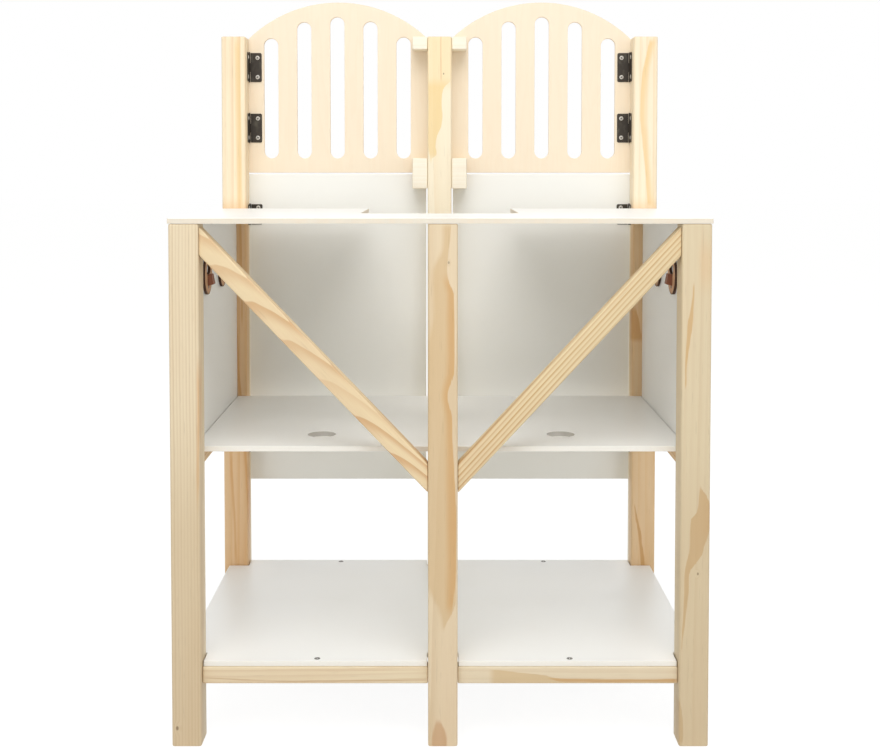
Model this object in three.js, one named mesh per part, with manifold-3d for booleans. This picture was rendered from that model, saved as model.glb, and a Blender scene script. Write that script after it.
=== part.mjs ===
// A hobby horse stable: a free-standing wooden toy stable with two bays.
// Millimetres. +Z is up, +X is to the right seen from the open back, +Y points to the doors.
// The origin is on the floor, in the middle of the footprint with every door shut.
import * as THREE from "three";
import { mergeVertices } from "three/addons/utils/BufferGeometryUtils.js";
import Module from "manifold-3d";

const wasm = await Module();
wasm.setup();

// Frame
const postSpan = 800; // over the outer faces of the outer posts
const frontPostHeight = 1104;
const postSide = 44;
const postEdgeRadius = 3.5;
const baySpan = 422; // clear depth between the rear posts and the front posts
const rearCentrePostShift = 4; // the rear middle post stands a little right of centre
const seatGap = 0.3; // play left where one piece sits on another

// Boards
const boardThickness = 8;
const topShelfTop = 789;
const topShelfOverhang = 1.5; // past the outer posts at each side
const middleShelfTop = 442;
const bottomShelfTop = 125;
const bottomShelfSideInset = 9; // from the outer posts' outer faces
const bottomShelfEndInset = 12; // from the rear and the front faces of the posts
const postNotchPlay = 1.5; // air round each post where the bottom shelf is notched

// Notch in the front edge of the top shelf
const shelfNotchWidth = 260;
const shelfNotchDepth = 259;
const shelfNotchRadius = 24;

// Holes for the sticks in the middle shelf
const stickHoleDiameter = 44;
const stickHoleFromBack = 132; // from the rear faces of the rear posts

// Wooden rails, battens and braces
const railHeight = 25.5;
const railDepth = 24;
const railEdgeRadius = 2.5;
const battenWidth = 14;
const battenHeight = 20;
const battenEdgeRadius = 1.5;
const braceWidth = 29.5;
const braceDepth = 26;
const braceDrop = 353; // from a brace's upper corner at the outer post to that at the middle post
const braceSetback = 5; // from the rear posts' rear faces
const braceTopDrop = 4; // from a rear post's top to the brace's upper corner
const braceEdgeRadius = 2.5;

// Stop blocks on the front middle post
const stopWidth = 28;
const stopSetback = 3; // from the post's rear face
const upperStopHeight = 23;
const lowerStopHeight = 56;

// Gates and doors
const leafThickness = 8;
const leafStandoff = 4; // from the front posts' faces to the leaves' inner faces
const leafHingeLap = 1.2; // a leaf's hinged edge past the outer post's inner side
const gateCentreLap = 0.5; // a gate's free edge past the middle post's side
const doorCentreGap = 3; // from the middle post's side to a door's free edge
const leafSplitHeight = 853.2; // middle of the gap between a gate and the door under it
const leafSplitGap = 2.8;
const doorBottom = 275;
const archRise = 68; // height of a gate's arch over the front posts' tops
const archSteps = 28;

// Slots in a gate
const slotCount = 5;
const slotWidth = 26.8;
const slotHingeMargin = 28.9; // wood left between the last slot and the hinged edge
const slotFreeMargin = 32.4; // wood left between the first slot and the free edge
const slotTopMargin = 27; // wood left over a slot, square to the arch
const slotBottomMargin = 26.7;
const slotEndSteps = 6;

// Butt hinges
const gateHingeLength = 54;
const doorHingeLength = 38;
const gateTopHingeInset = 53; // from the posts' tops down to the hinge's middle
const gateBottomHingeInset = 83.4; // from the gate's lower edge up to the hinge's middle
const doorHingeInset = 75.3; // from a door's top or bottom edge to the hinge's middle
const barrelRadius = 2;
const boreRadius = 1.4;
const pinRadius = 1.1;
const pinHeadHeight = 1;
const pinTipLength = 0.6;
const plateThickness = 1.2;
const plateReach = 23.4; // from the pin's axis to the plate's free edge
const plateCornerRadius = 3;
const plateToBarrelGap = 0.5;
const knuckleGap = 0.5;
const knuckleShares = [0, 0.34, 0.66, 1];
const screwReach = 15.6; // from the pin's axis to the screw holes
const screwHoleRadius = 2;
const screwHeightShare = 0.333; // of the hinge's length, up and down from its middle
const barrelSides = 12;
const holeSides = 8;
const cutOverrun = 1;

// Tack hooks on the side panels
const hookDiscDiameter = 62;
const hookDiscThickness = 4;
const hookHeight = 692;
const hookRearRow = 160; // from the rear faces of the rear posts
const hookRowSpacing = 138;
const hookSlotWidth = 33;
const hookSlotHeight = 16;
const hookSlotRise = 9.5;
const hookScrewDrop = 18.5;
const hookScrewDiameter = 4.4;
const hookArmReach = 9;
const hookArmHeight = 16;
const hookArmThickness = 18;
const hookArmDrop = 6; // from the disc's centre to the arm's middle
const hookArmTipSlant = 3; // how far the tip's upper corner lies behind its lower one
const hookArmFootDrop = 2.5; // how far the arm's foot at the disc lies under its tip
const discSteps = 16;

const roundSteps = 3;
const stickHoleSteps = 16;
const weldDistance = 0.0001;

// Derived sizes
const halfWidth = postSpan / 2;
const overallDepth = postSide + baySpan + postSide + leafStandoff + leafThickness;
const backFace = -overallDepth / 2;
const rearPostFront = backFace + postSide;
const frontPostBack = rearPostFront + baySpan;
const frontFace = frontPostBack + postSide;
const leafInner = frontFace + leafStandoff;
const postInner = halfWidth - postSide;
const postMiddle = halfWidth - postSide / 2;
const rearPostY = backFace + postSide / 2;
const frontPostY = frontFace - postSide / 2;
const rearCentreLeft = rearCentrePostShift - postSide / 2;
const rearCentreRight = rearCentrePostShift + postSide / 2;
const rearPostHeight = topShelfTop - boardThickness - seatGap;
const panelOuter = postMiddle + boardThickness / 2;
const panelInner = postMiddle - boardThickness / 2;
const railTop = bottomShelfTop - boardThickness - seatGap;
const middleShelfUnder = middleShelfTop - boardThickness;
const battenTop = middleShelfUnder - seatGap;
const battenBottom = battenTop - battenHeight;
const upperStopLow = frontPostHeight - upperStopHeight;
const lowerStopLow = leafSplitHeight - lowerStopHeight / 2;
const leafOuterEdge = postInner + leafHingeLap;
const gateInnerEdge = postSide / 2 - gateCentreLap;
const doorInnerEdge = postSide / 2 + doorCentreGap;
const gateWidth = leafOuterEdge - gateInnerEdge;
const gateMiddle = (leafOuterEdge + gateInnerEdge) / 2;
const gateBottom = leafSplitHeight + leafSplitGap / 2;
const doorTop = leafSplitHeight - leafSplitGap / 2;
const slotSpan = gateWidth - slotFreeMargin - slotHingeMargin - slotWidth;
const slotPitch = slotSpan / (slotCount - 1);
const firstSlot = gateInnerEdge + slotFreeMargin + slotWidth / 2;
const pinY = leafInner - seatGap - barrelRadius;
const pinToEdge = pinY - frontFace - seatGap; // so that an open leaf's edge clears the post
const pinX = leafOuterEdge - pinToEdge;
const hookFace = panelInner - seatGap;

// Colours
const pineColour = 0xd9b98a;
const heartPineColour = 0xd2aa72;
const whiteBoardColour = 0xf1efe8;
const creamBoardColour = 0xf3e4c8;
const darkMetalColour = 0x2e2a28;
const plywoodColour = 0xb98a5a;

const stable = new THREE.Group();

function paint(colour, roughness, metalness) {
  return new THREE.MeshStandardMaterial({ color: colour, roughness, metalness });
}

const pine = () => paint(pineColour, 0.62, 0);
const heartPine = () => paint(heartPineColour, 0.62, 0);
const whiteBoard = () => paint(whiteBoardColour, 0.42, 0);
const creamBoard = () => paint(creamBoardColour, 0.5, 0);
const darkMetal = () => paint(darkMetalColour, 0.45, 0.85);
const plywood = () => paint(plywoodColour, 0.66, 0);

function addPiece(name, geometry, material) {
  const mesh = new THREE.Mesh(geometry, material);
  mesh.name = name;
  stable.add(mesh);
}

// Turns a closed geometry into a solid that can be joined and cut.
function solidFrom(geometry) {
  const bare = geometry.index ? geometry.toNonIndexed() : geometry.clone();
  bare.deleteAttribute("normal");
  bare.deleteAttribute("uv");
  const merged = mergeVertices(bare, weldDistance);
  return new wasm.Manifold(
    new wasm.Mesh({
      numProp: 3,
      vertProperties: new Float32Array(merged.attributes.position.array),
      triVerts: new Uint32Array(merged.index.array),
    }),
  );
}

function geometryFrom(solid) {
  const mesh = solid.getMesh();
  const geometry = new THREE.BufferGeometry();
  geometry.setAttribute("position", new THREE.BufferAttribute(mesh.vertProperties, 3));
  geometry.setIndex(new THREE.BufferAttribute(mesh.triVerts, 1));
  geometry.computeVertexNormals();
  return geometry;
}

// A box between two corners; the corners may be given in either order.
function boxBetween(xOne, xTwo, yOne, yTwo, zOne, zTwo) {
  const width = Math.abs(xTwo - xOne);
  const depth = Math.abs(yTwo - yOne);
  const height = Math.abs(zTwo - zOne);
  const box = new THREE.BoxGeometry(width, depth, height);
  return box.translate((xOne + xTwo) / 2, (yOne + yTwo) / 2, (zOne + zTwo) / 2);
}

// A rectangle with rounded corners, centred on the drawing's origin.
function roundedRectangle(width, height, radius) {
  const right = width / 2;
  const top = height / 2;
  const shape = new THREE.Shape();
  shape.moveTo(right, radius - top);
  shape.lineTo(right, top - radius);
  shape.absarc(right - radius, top - radius, radius, 0, Math.PI / 2);
  shape.lineTo(radius - right, top);
  shape.absarc(radius - right, top - radius, radius, Math.PI / 2, Math.PI);
  shape.lineTo(-right, radius - top);
  shape.absarc(radius - right, radius - top, radius, Math.PI, Math.PI * 1.5);
  shape.lineTo(right - radius, -top);
  shape.absarc(right - radius, radius - top, radius, Math.PI * 1.5, Math.PI * 2);
  return shape;
}

function polygon(points) {
  return new THREE.Shape(points.map(([x, y]) => new THREE.Vector2(x, y)));
}

function roundHole(x, y, radius) {
  const hole = new THREE.Path();
  hole.absarc(x, y, radius, 0, Math.PI * 2, true);
  return hole;
}

function extrude(shape, depth, steps) {
  return new THREE.ExtrudeGeometry(shape, { depth, bevelEnabled: false, curveSegments: steps });
}

// A drawing in X and Y, raised by its height from a level.
function raiseDrawing(shape, level, height, steps) {
  return extrude(shape, height, steps).translate(0, 0, level);
}

// A drawing in X and Z, given a thickness from a plane towards +Y.
function standDrawing(shape, plane, thickness, steps) {
  return extrude(shape, thickness, steps).rotateX(Math.PI / 2).translate(0, plane + thickness, 0);
}

// A drawing in Y and Z, given a thickness from a plane towards +X.
function sideDrawing(shape, plane, thickness, steps) {
  const geometry = extrude(shape, thickness, steps);
  return geometry.rotateX(Math.PI / 2).rotateZ(Math.PI / 2).translate(plane, 0, 0);
}

// A square post with softened edges, standing on the floor.
function makePost(name, x, y, height, material) {
  const section = roundedRectangle(postSide, postSide, postEdgeRadius);
  const geometry = raiseDrawing(section, 0, height, roundSteps);
  addPiece(name, geometry.translate(x, y, 0), material);
}

// A bottom rail along X between two posts, in the middle of their depth.
function makeRail(name, xOne, xTwo, y) {
  const section = roundedRectangle(railDepth, railHeight, railEdgeRadius);
  const length = xTwo - xOne - seatGap - seatGap;
  const geometry = sideDrawing(section, xOne + seatGap, length, roundSteps);
  addPiece(name, geometry.translate(0, y, railTop - railHeight / 2), pine());
}

// The batten under an end of the middle shelf, along Y against the side panel.
function makeBatten(name, side) {
  const section = roundedRectangle(battenWidth, battenHeight, battenEdgeRadius);
  const length = baySpan - seatGap - seatGap;
  const geometry = standDrawing(section, rearPostFront + seatGap, length, roundSteps);
  const x = side * (panelInner - seatGap - battenWidth / 2);
  addPiece(name, geometry.translate(x, 0, battenTop - battenHeight / 2), pine());
}

// A brace from an outer rear post down to the rear middle post, both ends cut upright.
function makeBrace(name, side) {
  const outer = side * (postInner - seatGap);
  const inner = side > 0 ? rearCentreRight + seatGap : rearCentreLeft - seatGap;
  const high = rearPostHeight - braceTopDrop;
  const run = Math.abs(outer - inner);
  const slope = Math.atan2(braceDrop, run);
  const level = high - (braceDrop + braceWidth / Math.cos(slope)) / 2;
  const section = roundedRectangle(braceDepth, braceWidth, braceEdgeRadius);
  const length = (run + braceDrop) * 2;
  const bar = sideDrawing(section, -length / 2, length, roundSteps);
  bar.rotateY(-side * slope);
  bar.translate((outer + inner) / 2, backFace + braceSetback + braceDepth / 2, level);
  const space = boxBetween(outer, inner, backFace, rearPostFront, level - length, level + length);
  addPiece(name, geometryFrom(solidFrom(bar).intersect(solidFrom(space))), pine());
}

// The top shelf lies on the rear posts and is notched round the space at the doors.
function makeTopShelf() {
  const side = halfWidth + topShelfOverhang;
  const front = frontPostBack - seatGap;
  const notchBack = front - shelfNotchDepth;
  const notchSide = shelfNotchWidth / 2;
  const radius = shelfNotchRadius;
  const shape = new THREE.Shape();
  shape.moveTo(-side, backFace);
  shape.lineTo(side, backFace);
  shape.lineTo(side, front);
  shape.lineTo(notchSide, front);
  shape.lineTo(notchSide, notchBack + radius);
  shape.absarc(notchSide - radius, notchBack + radius, radius, 0, -Math.PI / 2, true);
  shape.lineTo(radius - notchSide, notchBack);
  shape.absarc(radius - notchSide, notchBack + radius, radius, -Math.PI / 2, -Math.PI, true);
  shape.lineTo(-notchSide, front);
  shape.lineTo(-side, front);
  shape.closePath();
  const level = topShelfTop - boardThickness;
  addPiece("top_shelf", raiseDrawing(shape, level, boardThickness, roundSteps * 2), whiteBoard());
}

// The middle shelf lies between the side panels and has a stick hole behind each bay.
function makeMiddleShelf() {
  const side = panelInner - seatGap;
  const back = rearPostFront + seatGap;
  const front = frontPostBack - seatGap;
  const shape = polygon([
    [-side, back],
    [side, back],
    [side, front],
    [-side, front],
  ]);
  const holeY = backFace + stickHoleFromBack;
  const leftHoleX = (rearCentreLeft - postInner) / 2;
  const rightHoleX = (rearCentreRight + postInner) / 2;
  for (const x of [leftHoleX, rightHoleX]) {
    shape.holes.push(roundHole(x, holeY, stickHoleDiameter / 2));
  }
  const geometry = raiseDrawing(shape, middleShelfUnder, boardThickness, stickHoleSteps);
  addPiece("middle_shelf", geometry, whiteBoard());
}

// The bottom shelf lies on the four bottom rails and is notched round all six posts.
function makeBottomShelf() {
  const side = halfWidth - bottomShelfSideInset;
  const back = backFace + bottomShelfEndInset;
  const front = frontFace - bottomShelfEndInset;
  const rearNotch = rearPostFront + postNotchPlay;
  const frontNotch = frontPostBack - postNotchPlay;
  const cornerCut = postInner - postNotchPlay;
  const rearLeft = rearCentreLeft - postNotchPlay;
  const rearRight = rearCentreRight + postNotchPlay;
  const frontCut = postSide / 2 + postNotchPlay;
  const shape = polygon([
    [-cornerCut, rearNotch],
    [-cornerCut, back],
    [rearLeft, back],
    [rearLeft, rearNotch],
    [rearRight, rearNotch],
    [rearRight, back],
    [cornerCut, back],
    [cornerCut, rearNotch],
    [side, rearNotch],
    [side, frontNotch],
    [cornerCut, frontNotch],
    [cornerCut, front],
    [frontCut, front],
    [frontCut, frontNotch],
    [-frontCut, frontNotch],
    [-frontCut, front],
    [-cornerCut, front],
    [-cornerCut, frontNotch],
    [-side, frontNotch],
    [-side, rearNotch],
  ]);
  const level = bottomShelfTop - boardThickness;
  addPiece("bottom_shelf", raiseDrawing(shape, level, boardThickness, roundSteps), whiteBoard());
}

// A side panel closes the bay's side between the top shelf and the middle shelf.
function makeSidePanel(name, side) {
  const back = rearPostFront + seatGap;
  const front = frontPostBack - seatGap;
  const inner = side * panelInner;
  const outer = side * panelOuter;
  const panel = boxBetween(inner, outer, back, front, battenBottom, rearPostHeight);
  addPiece(name, panel, whiteBoard());
}

// A stop block on a side of the front middle post; the leaves close against it.
function makeStop(name, side, low, height) {
  const inner = side * (postSide / 2 + seatGap);
  const outer = side * (postSide / 2 + stopWidth);
  const back = frontPostBack + stopSetback;
  const front = leafInner - seatGap;
  addPiece(name, boxBetween(inner, outer, back, front, low, low + height), pine());
}

// The outline of a gate in X and Z: straight sides and a round arch between the post tops.
function gateOutline(side) {
  const half = gateWidth / 2;
  const radius = (half * half + archRise * archRise) / (archRise * 2);
  const centreHeight = frontPostHeight + archRise - radius;
  const spread = Math.asin(half / radius);
  const middle = side * gateMiddle;
  const shape = new THREE.Shape();
  shape.moveTo(middle - half, gateBottom);
  shape.lineTo(middle + half, gateBottom);
  shape.lineTo(middle + half, frontPostHeight);
  const start = Math.PI / 2 - spread;
  for (let step = 1; step < archSteps; step += 1) {
    const angle = start + (spread * 2 * step) / archSteps;
    const x = middle + radius * Math.cos(angle);
    shape.lineTo(x, centreHeight + radius * Math.sin(angle));
  }
  shape.lineTo(middle - half, frontPostHeight);
  shape.closePath();
  return { shape, radius, centreHeight, middle };
}

// An upright slot with round ends, as a hole in a drawing.
function uprightSlot(x, low, high) {
  const radius = slotWidth / 2;
  const hole = new THREE.Path();
  hole.moveTo(x + radius, low + radius);
  hole.absarc(x, low + radius, radius, 0, -Math.PI, true);
  hole.lineTo(x - radius, high - radius);
  hole.absarc(x, high - radius, radius, Math.PI, 0, true);
  hole.closePath();
  return hole;
}

// An upper gate: a slotted board with an arched top. The margin over each slot is square
// to the arch, so it stands higher where the arch slopes.
function makeGate(name, side) {
  const { shape, radius, centreHeight, middle } = gateOutline(side);
  for (let index = 0; index < slotCount; index += 1) {
    const x = side * (firstSlot + index * slotPitch);
    const archOverCentre = Math.sqrt(radius * radius - (x - middle) * (x - middle));
    const high = centreHeight + archOverCentre - (slotTopMargin * radius) / archOverCentre;
    shape.holes.push(uprightSlot(x, gateBottom + slotBottomMargin, high));
  }
  addPiece(name, standDrawing(shape, leafInner, leafThickness, slotEndSteps), creamBoard());
}

// A lower door: a plain board.
function makeDoor(name, side) {
  const inner = side * doorInnerEdge;
  const outer = side * leafOuterEdge;
  const front = leafInner + leafThickness;
  addPiece(name, boxBetween(inner, outer, leafInner, front, doorBottom, doorTop), whiteBoard());
}

// An upright round bar on a hinge's axis.
function axisBar(x, radius, low, high, sides) {
  const bar = new THREE.CylinderGeometry(radius, radius, high - low, sides);
  return bar.rotateX(Math.PI / 2).translate(x, pinY, (low + high) / 2);
}

// The knuckles of one hinge plate: rolled barrels, each with a web to its plate.
function knuckles(x, low, length, which, webFor) {
  const parts = [];
  const last = knuckleShares.length - 2;
  for (const index of which) {
    const from = low + length * knuckleShares[index] + (index > 0 ? knuckleGap / 2 : 0);
    const to = low + length * knuckleShares[index + 1] - (index < last ? knuckleGap / 2 : 0);
    parts.push(solidFrom(axisBar(x, barrelRadius, from, to, barrelSides)));
    parts.push(solidFrom(webFor(from, to)));
  }
  return parts;
}

// The outline of a hinge plate from its barrel side to its free side, with two round corners.
function plateShape(from, to, low, length) {
  const radius = plateCornerRadius;
  const forward = to > from;
  const turnX = forward ? to - radius : to + radius;
  const foot = -Math.PI / 2;
  const edge = forward ? 0 : -Math.PI;
  const head = forward ? Math.PI / 2 : -Math.PI * 1.5;
  const shape = new THREE.Shape();
  shape.moveTo(from, low);
  shape.lineTo(turnX, low);
  shape.absarc(turnX, low + radius, radius, foot, edge, !forward);
  shape.lineTo(to, low + length - radius);
  shape.absarc(turnX, low + length - radius, radius, edge, head, !forward);
  shape.lineTo(from, low + length);
  shape.closePath();
  return shape;
}

// A cutter for a screw hole, along Y and centred on the origin.
function screwCutter() {
  const length = plateThickness + cutOverrun + cutOverrun;
  return new THREE.CylinderGeometry(screwHoleRadius, screwHoleRadius, length, holeSides);
}

function screwHeights(low, length) {
  const middle = low + length / 2;
  return [middle - length * screwHeightShare, middle + length * screwHeightShare];
}

// Joins a plate to its knuckles, then bores it for the pin and drills it for its screws.
function finishPlate(plate, parts, holes, x, low, length) {
  let solid = solidFrom(plate);
  for (const part of parts) solid = solid.add(part);
  const bore = axisBar(x, boreRadius, low - cutOverrun, low + length + cutOverrun, holeSides);
  solid = solid.subtract(solidFrom(bore));
  for (const hole of holes) solid = solid.subtract(solidFrom(hole));
  return geometryFrom(solid);
}

// The plate screwed to the post's inner side, with the outer knuckles.
function makePostPlate(name, side, middleHeight, length) {
  const x = side * pinX;
  const low = middleHeight - length / 2;
  const wallSide = side * (postInner - seatGap);
  const openSide = wallSide - side * plateThickness;
  const start = pinY - barrelRadius - plateToBarrelGap;
  const shape = plateShape(start, pinY - plateReach, low, length);
  const plate = sideDrawing(shape, Math.min(wallSide, openSide), plateThickness, roundSteps);
  const root = start - plateThickness;
  const web = (from, to) => boxBetween(wallSide, openSide, root, pinY, from, to);
  const holes = screwHeights(low, length).map((height) => {
    const middle = (wallSide + openSide) / 2;
    return screwCutter().rotateZ(Math.PI / 2).translate(middle, pinY - screwReach, height);
  });
  const parts = knuckles(x, low, length, [0, 2], web);
  addPiece(name, finishPlate(plate, parts, holes, x, low, length), darkMetal());
}

// The plate screwed to the leaf's inner face, with the middle knuckle.
function makeLeafPlate(name, side, middleHeight, length) {
  const x = side * pinX;
  const low = middleHeight - length / 2;
  const face = leafInner - seatGap;
  const openFace = face - plateThickness;
  const start = x - side * (barrelRadius + plateToBarrelGap);
  const shape = plateShape(start, x - side * plateReach, low, length);
  const plate = standDrawing(shape, openFace, plateThickness, roundSteps);
  const root = start - side * plateThickness;
  const web = (from, to) => boxBetween(x, root, openFace, face, from, to);
  const holes = screwHeights(low, length).map((height) =>
    screwCutter().translate(x - side * screwReach, (face + openFace) / 2, height),
  );
  const parts = knuckles(x, low, length, [1], web);
  addPiece(name, finishPlate(plate, parts, holes, x, low, length), darkMetal());
}

// The loose pin through all the knuckles, with a flat head on top.
function makePin(name, side, middleHeight, length) {
  const x = side * pinX;
  const low = middleHeight - length / 2 - pinTipLength;
  const headBase = middleHeight + length / 2 + seatGap;
  const headTop = headBase + pinHeadHeight;
  const shank = solidFrom(axisBar(x, pinRadius, low, headBase + pinHeadHeight / 2, holeSides));
  const head = solidFrom(axisBar(x, barrelRadius, headBase, headTop, barrelSides));
  addPiece(name, geometryFrom(shank.add(head)), darkMetal());
}

function makeHinge(place, side, middleHeight, length) {
  makePostPlate(place + "_post_plate", side, middleHeight, length);
  makeLeafPlate(place + "_leaf_plate", side, middleHeight, length);
  makePin(place + "_pin", side, middleHeight, length);
}

// The round plywood back of a tack hook, with an oval opening and a screw hole.
function makeHookDisc(name, side, y) {
  const shape = new THREE.Shape();
  shape.absarc(y, hookHeight, hookDiscDiameter / 2, 0, Math.PI * 2);
  const ovalHeight = hookHeight + hookSlotRise;
  const oval = new THREE.Path();
  oval.absellipse(y, ovalHeight, hookSlotWidth / 2, hookSlotHeight / 2, 0, Math.PI * 2, true);
  shape.holes.push(oval);
  shape.holes.push(roundHole(y, hookHeight - hookScrewDrop, hookScrewDiameter / 2));
  const plane = side > 0 ? hookFace - hookDiscThickness : -hookFace;
  addPiece(name, sideDrawing(shape, plane, hookDiscThickness, discSteps), plywood());
}

// The short plywood arm that stands out of a tack hook's back, longest at its lower tip.
function makeHookArm(name, side, y) {
  const base = side * (hookFace - hookDiscThickness - seatGap);
  const tip = base - side * hookArmReach;
  const high = hookHeight - hookArmDrop + hookArmHeight / 2;
  const low = high - hookArmHeight;
  const shape = polygon([
    [base, low - hookArmFootDrop],
    [tip, low],
    [tip + side * hookArmTipSlant, high],
    [base, high],
  ]);
  const plane = y - hookArmThickness / 2;
  addPiece(name, standDrawing(shape, plane, hookArmThickness, roundSteps), plywood());
}

makePost("rear_post_left", -postMiddle, rearPostY, rearPostHeight, pine());
makePost("rear_post_centre", rearCentrePostShift, rearPostY, rearPostHeight, heartPine());
makePost("rear_post_right", postMiddle, rearPostY, rearPostHeight, pine());
makePost("front_post_left", -postMiddle, frontPostY, frontPostHeight, pine());
makePost("front_post_centre", 0, frontPostY, frontPostHeight, heartPine());
makePost("front_post_right", postMiddle, frontPostY, frontPostHeight, pine());

makeRail("rear_bottom_rail_left", -postInner, rearCentreLeft, rearPostY);
makeRail("rear_bottom_rail_right", rearCentreRight, postInner, rearPostY);
makeRail("front_bottom_rail_left", -postInner, -postSide / 2, frontPostY);
makeRail("front_bottom_rail_right", postSide / 2, postInner, frontPostY);

makeTopShelf();
makeMiddleShelf();
makeBottomShelf();

const hookRearY = backFace + hookRearRow;
for (const [word, side] of [["left", -1], ["right", 1]]) {
  makeBrace("brace_" + word, side);
  makeBatten("middle_shelf_batten_" + word, side);
  makeSidePanel("side_panel_" + word, side);
  makeStop("upper_stop_block_" + word, side, upperStopLow, upperStopHeight);
  makeStop("lower_stop_block_" + word, side, lowerStopLow, lowerStopHeight);
  makeGate("upper_gate_" + word, side);
  makeDoor("lower_door_" + word, side);
  const gateHinge = "gate_hinge_" + word;
  const doorHinge = "door_hinge_" + word;
  const gateTopHeight = frontPostHeight - gateTopHingeInset;
  makeHinge(gateHinge + "_top", side, gateTopHeight, gateHingeLength);
  makeHinge(gateHinge + "_bottom", side, gateBottom + gateBottomHingeInset, gateHingeLength);
  makeHinge(doorHinge + "_top", side, doorTop - doorHingeInset, doorHingeLength);
  makeHinge(doorHinge + "_bottom", side, doorBottom + doorHingeInset, doorHingeLength);
  for (const [row, y] of [["rear", hookRearY], ["front", hookRearY + hookRowSpacing]]) {
    const place = "hook_" + word + "_" + row;
    makeHookDisc(place + "_disc", side, y);
    makeHookArm(place + "_arm", side, y);
  }
}

export default stable;
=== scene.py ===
import math

import bmesh
import bpy
import mathutils
import numpy as np
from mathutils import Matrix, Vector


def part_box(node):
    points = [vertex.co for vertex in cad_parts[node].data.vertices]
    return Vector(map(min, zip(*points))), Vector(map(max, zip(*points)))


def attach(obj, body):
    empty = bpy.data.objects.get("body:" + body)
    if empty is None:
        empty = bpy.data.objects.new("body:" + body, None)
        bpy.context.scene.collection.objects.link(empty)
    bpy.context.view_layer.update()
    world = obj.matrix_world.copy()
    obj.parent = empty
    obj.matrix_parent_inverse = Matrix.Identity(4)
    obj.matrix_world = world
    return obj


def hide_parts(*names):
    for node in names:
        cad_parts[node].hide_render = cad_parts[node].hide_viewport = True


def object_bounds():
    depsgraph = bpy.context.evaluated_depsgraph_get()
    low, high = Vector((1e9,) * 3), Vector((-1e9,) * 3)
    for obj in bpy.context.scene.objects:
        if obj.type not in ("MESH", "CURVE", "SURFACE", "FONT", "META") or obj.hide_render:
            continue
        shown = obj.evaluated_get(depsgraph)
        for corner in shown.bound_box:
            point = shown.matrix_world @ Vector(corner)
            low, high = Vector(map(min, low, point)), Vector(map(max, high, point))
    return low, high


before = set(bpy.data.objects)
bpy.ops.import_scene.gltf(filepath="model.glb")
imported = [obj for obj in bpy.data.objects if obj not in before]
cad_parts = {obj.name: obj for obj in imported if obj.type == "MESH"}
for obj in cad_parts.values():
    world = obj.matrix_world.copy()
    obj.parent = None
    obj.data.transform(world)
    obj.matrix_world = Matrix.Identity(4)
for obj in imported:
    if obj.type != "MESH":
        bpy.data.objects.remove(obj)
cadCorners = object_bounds()

scene = bpy.context.scene
scene.view_settings.view_transform = "Standard"

# Axes of the frame, and the two sides of the stable
axisX, axisY, axisZ = np.eye(3)
sides = {"left": -1, "right": 1}
mm = 0.001


def corners(node):
    low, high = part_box(node)
    return np.array(low), np.array(high)


# The camera stands behind the open back, a little above the top shelf
cameraView = {
    "frameWidth": 880,
    "frameHeight": 751,
    "focalLength": 1250,  # in pixels of the frame
    "sightColumn": 437.2,  # where the line of sight meets the frame
    "sightRow": 218.1,
    "sensor": 36,
    "distance": 1.833,  # to the rear posts' faces
    "height": 0.8614,
    "sideStep": -0.0044,
    "tilt": 2.247,  # degrees down
}


def makeCamera(values):
    data = bpy.data.cameras.new("photo_camera")
    data.sensor_width = values["sensor"]
    data.lens = values["focalLength"] / values["frameWidth"] * values["sensor"]
    data.shift_x = (values["frameWidth"] / 2 - values["sightColumn"]) / values["frameWidth"]
    data.shift_y = (values["sightRow"] - values["frameHeight"] / 2) / values["frameWidth"]
    camera = bpy.data.objects.new("photo_camera", data)
    backFace = cadCorners[0].y
    camera.location = (values["sideStep"], backFace - values["distance"], values["height"])
    camera.rotation_euler = (math.radians(90 - values["tilt"]), 0, 0)
    scene.collection.objects.link(camera)
    scene.camera = camera


makeCamera(cameraView)
print("camera placed")


# Shader graphs

def shade(red, green, blue):
    # A colour as it looks on a screen, 0 to 255, as the light values that the shader takes
    share = np.array([red, green, blue]) / 255
    light = np.where(share <= 0.04045, share / 12.92, ((share + 0.055) / 1.055) ** 2.4)
    return (*light.tolist(), 1.0)


class Wire:
    # One socket of a graph; an operator on it adds the Math node that does the sum
    def __init__(self, graph, socket):
        self.graph = graph
        self.socket = socket

    def maths(self, operation, *others):
        values = dict(enumerate((self, *others)))
        return self.graph.node("Math", {"operation": operation}, values)

    def reflected(self, operation, other):
        return self.graph.node("Math", {"operation": operation}, {0: other, 1: self})

    def __add__(self, other):
        return self.maths("ADD", other)

    def __radd__(self, other):
        return self.reflected("ADD", other)

    def __sub__(self, other):
        return self.maths("SUBTRACT", other)

    def __rsub__(self, other):
        return self.reflected("SUBTRACT", other)

    def __mul__(self, other):
        return self.maths("MULTIPLY", other)

    def __truediv__(self, other):
        return self.maths("DIVIDE", other)


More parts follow.
